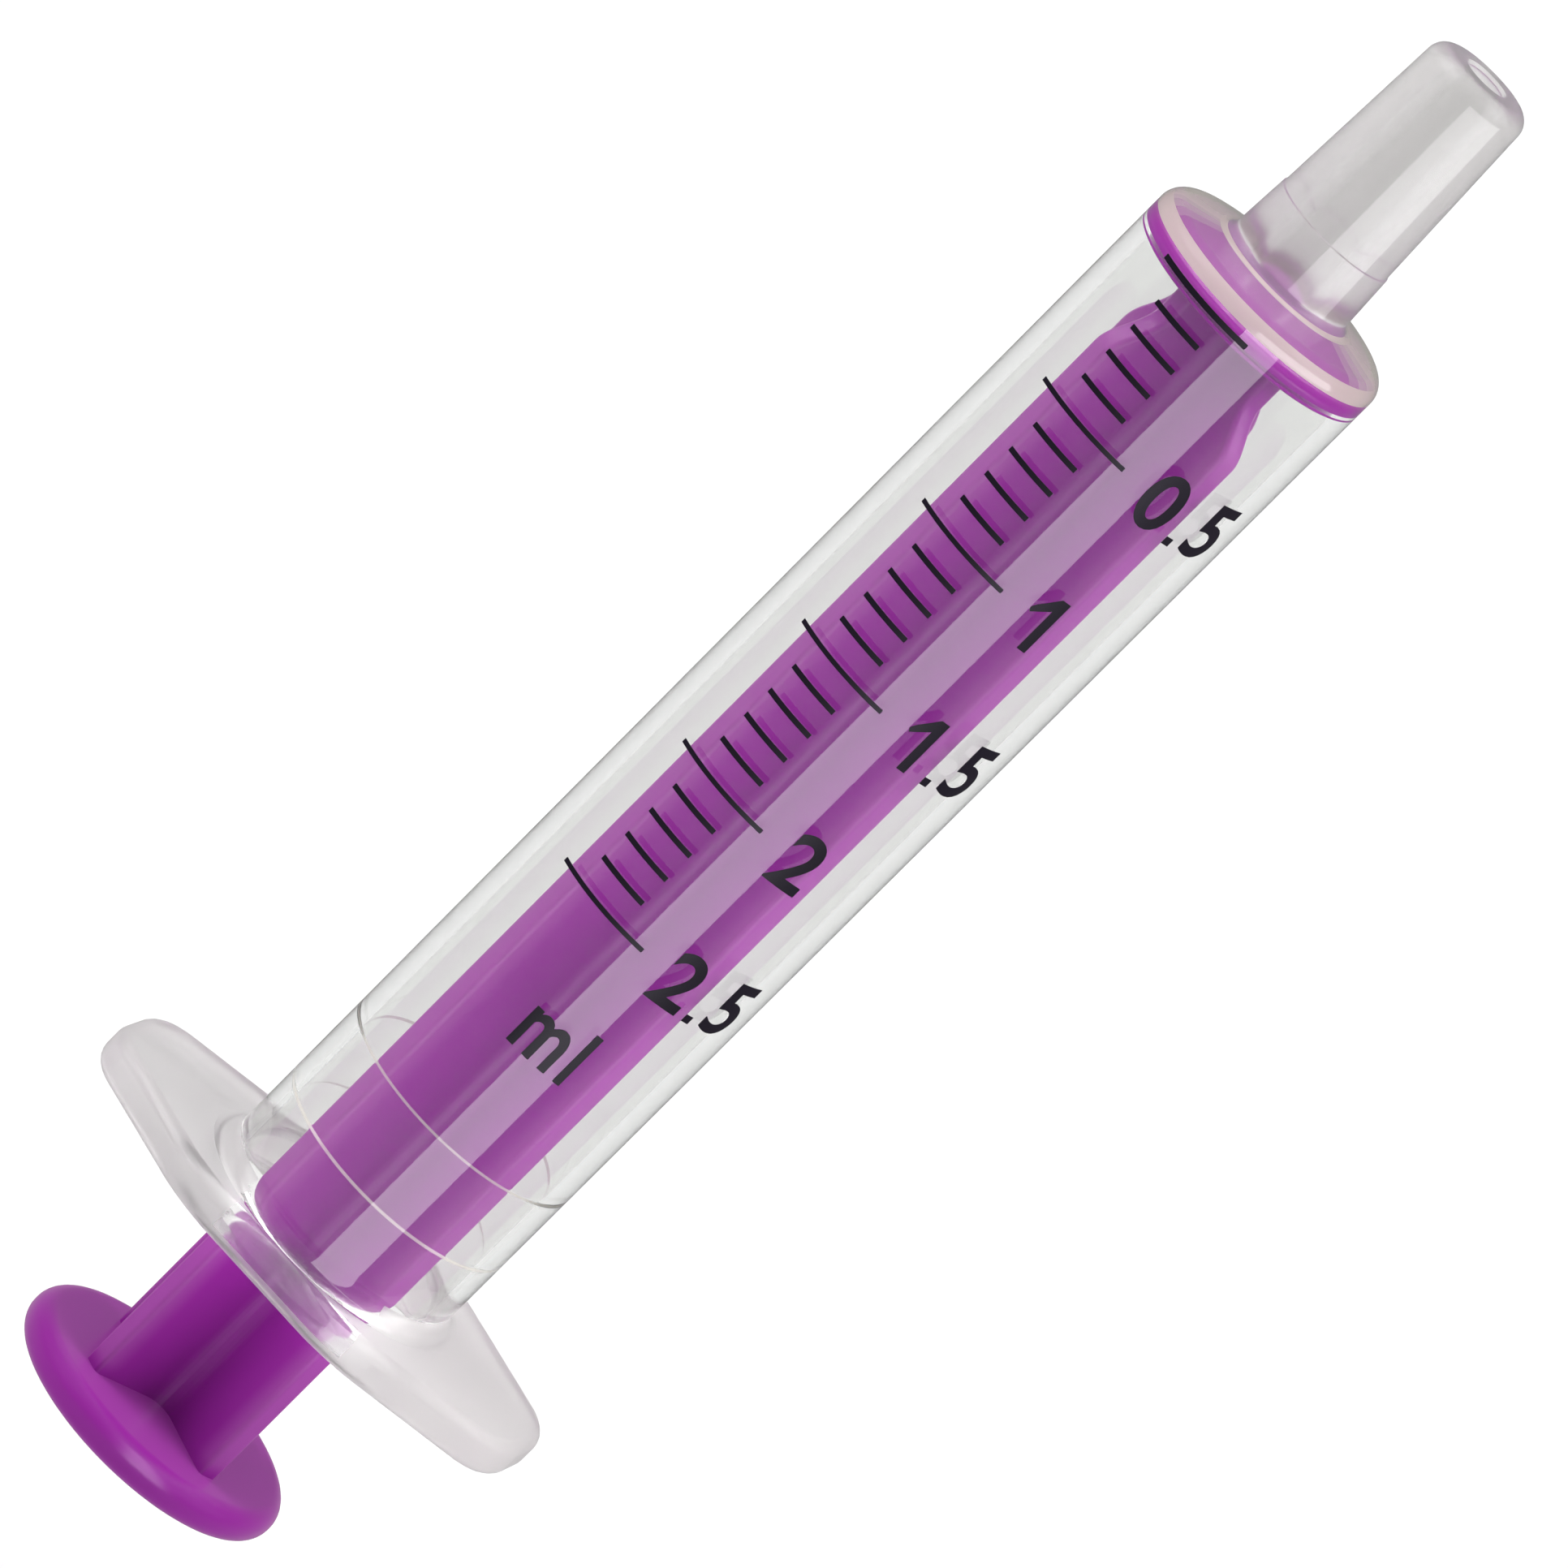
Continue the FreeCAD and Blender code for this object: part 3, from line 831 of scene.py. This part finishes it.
def plastic_at(at):
    """The plastic of one face of the barrel, by where the face's middle is in millimetres."""
    r = max(math.hypot(at.x, at.y), 0.1)
    facing = (at.x * math.cos(printed_side) + at.y * math.sin(printed_side)) / r
    if at.z < flange_top + root_fillet - 0.05 and r > entry_r + 0.01:
        return flange_plastic(r, at.z, r * math.sqrt(1 - facing ** 2) if facing > 0 else r)
    # The ridge's two short slopes get a painted light line.
    if at.z < ridge_high + NEAR and r < entry_r + 0.01:
        return painted_ridge_lines if on_ridge_step(at.z) else mouth
    if at.z < corner_low:
        return clear
    # From here on the corner and the foot ring are painted pale, and the closed end is painted
    # paler step by step away from the printed side.
    step = min(max(round((end_clear - facing) / end_fade), 0), END_STEPS - 1)
    if r > barrel_r - shoulder_round:
        return closed_end_painted_pale[step] if at.z > corner_middle else painted_pale_corner
    if foot_z < at.z < foot_z + foot_ring_t and r > foot_r:
        return painted_pale_corner
    if at.z > foot_z and r > outlet_base_r + 0.01:
        return nozzle
    if at.z < corner_middle or r < outlet_base_r + 0.01:
        return clear
    return closed_end_painted_pale[step]


# %% Dress and tie
pieces = [
    (barrel, "barrel", clear, "clear_plastic"),
    (plunger, "plunger", purple, "purple_plastic"),
    (zero_ink, "zero_line", ink, "ink"),
    (half_ink, "half_lines", ink, "ink"),
    (tenth_ink, "tenth_lines", ink, "ink"),
    (unit_ink, "unit_mark", ink, "ink"),
]
pieces += [(obj, node, ink, "ink") for node, obj in numerals.items()]
for obj, node, material, slot in pieces:
    obj.data.materials.clear()
    obj.data.materials.append(material)
    if obj is barrel:
        for extra in plastics[1:]:
            obj.data.materials.append(extra)
        for face in obj.data.polygons:
            face.material_index = plastics.index(plastic_at(face.center / MM))
    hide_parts(node)
    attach(obj, "plunger" if node == "plunger" else "barrel")
print(len(pieces), "pieces dressed")

# %% [markdown]
# ## Stage, light and camera
#
# A pale floor, soft light from all round, and two strip lights close to the syringe. The strips
# are what a glossy cylinder shows as one long bright line, and they only light reflections. The
# floor lies a little way under the thumb disc, so that no hard line of shadow frames the disc.

# %% Lay the floor and set the soft light
bpy.ops.object.select_all(action="DESELECT")
floor_drop = 12.0
bpy.ops.mesh.primitive_plane_add(size=6.0, location=(0, 0, -floor_drop * MM))
floor = bpy.context.object
floor.name = "floor"
paper, tree, shader, output = new_material("pale_paper")
shader.inputs["Base Color"].default_value = (0.95, 0.95, 0.95, 1)
shader.inputs["Roughness"].default_value = 0.9
shader.inputs["Specular IOR Level"].default_value = 0.1
floor.data.materials.append(paper)
floor.visible_glossy = False

world = bpy.data.worlds.new("studio")
bpy.context.scene.world = world
world.use_nodes = True
sky = world.node_tree.nodes["Background"]
sky.inputs["Color"].default_value = (1.0, 1.0, 1.0, 1)
ray = world.node_tree.nodes.new("ShaderNodeLightPath")
soft_light, through_plastic, in_gloss = 0.14, 0.85, 0.25
brighter = world.node_tree.nodes.new("ShaderNodeMath")
brighter.operation = "MULTIPLY_ADD"
brighter.inputs[1].default_value = through_plastic - soft_light
brighter.inputs[2].default_value = soft_light
dimmer = world.node_tree.nodes.new("ShaderNodeMath")
dimmer.operation = "MULTIPLY_ADD"
dimmer.inputs[1].default_value = in_gloss - soft_light
world.node_tree.links.new(ray.outputs["Is Transmission Ray"], brighter.inputs[0])
world.node_tree.links.new(ray.outputs["Is Glossy Ray"], dimmer.inputs[0])
world.node_tree.links.new(brighter.outputs[0], dimmer.inputs[2])
world.node_tree.links.new(dimmer.outputs[0], sky.inputs["Strength"])


def sun(name, azimuth, elevation, strength, angle):
    """A wide, soft sun from an azimuth (0 is -Y, 90 is +X) and elevation, in degrees."""
    light = bpy.data.lights.new(name, "SUN")
    light.energy = strength
    light.angle = math.radians(angle)
    obj = bpy.data.objects.new(name, light)
    bpy.context.collection.objects.link(obj)
    a, e = math.radians(azimuth), math.radians(elevation)
    back = Vector((math.sin(a) * math.cos(e), -math.cos(a) * math.cos(e), math.sin(e)))
    obj.rotation_euler = back.to_track_quat("Z", "Y").to_euler()
    obj.visible_glossy = False
    return obj


def strip(name, azimuth, distance, width, low, high, strength):
    """An upright strip light, in millimetres, facing the axis, that only reflections show."""
    light = bpy.data.lights.new(name, "AREA")
    light.shape = "RECTANGLE"
    light.size = width * MM
    light.size_y = (high - low) * MM
    area = width * MM * (high - low) * MM
    light.energy = strength * math.pi * area
    obj = bpy.data.objects.new(name, light)
    bpy.context.collection.objects.link(obj)
    a = math.radians(azimuth)
    back = Vector((math.sin(a), -math.cos(a), 0.0))
    obj.location = back * distance * MM + Vector((0, 0, 0.5 * (low + high) * MM))
    side = Vector((math.cos(a), math.sin(a), 0.0))
    turn = Matrix((side, (0, 0, 1), back)).transposed()
    obj.rotation_euler = turn.to_euler()
    obj.visible_camera = False
    obj.visible_diffuse = False
    obj.visible_transmission = False
    return obj


view_azimuth = 7.5
side_turn, side_height, side_strength = 80, 38, 1.75
sun("right", view_azimuth + side_turn, side_height, side_strength, 45)
sun("left", view_azimuth - side_turn, side_height, side_strength, 45)
sun("top", view_azimuth, 85, 1.0, 60)
strip_distance = 30             # from the axis, in millimetres
strip("barrel_strip", view_azimuth + 21, strip_distance, 17.0, 0.5, 58.5, 5.0)
strip("nozzle_strip", view_azimuth + 50, strip_distance, 46.0, 59.2, 74.0, 2.6)

# %% Place the camera
bpy.context.scene.view_settings.view_transform = "Standard"
view_elevation = 16.0
view_distance = 0.500
view_width = 0.0604             # what the picture's width spans at the syringe
a, e = math.radians(view_azimuth), math.radians(view_elevation)
back = Vector((math.sin(a) * math.cos(e), -math.cos(a) * math.cos(e), math.sin(e)))
side = Vector((math.cos(a), math.sin(a), 0.0))
rise = back.cross(side)
right = (side + rise).normalized()
up = (rise - side).normalized()
aim = Vector((0, 0, 0.0372)) + side * 0.00007       # the middle of the picture
camera = bpy.data.objects.new("camera", bpy.data.cameras.new("camera"))
bpy.context.collection.objects.link(camera)
place = Matrix((right, up, back)).transposed().to_4x4()
place.translation = aim + back * view_distance
camera.matrix_world = place
film = 36.0
camera.data.sensor_width = film
camera.data.lens = film * view_distance / view_width
camera.data.clip_start = 0.01
bpy.context.scene.camera = camera
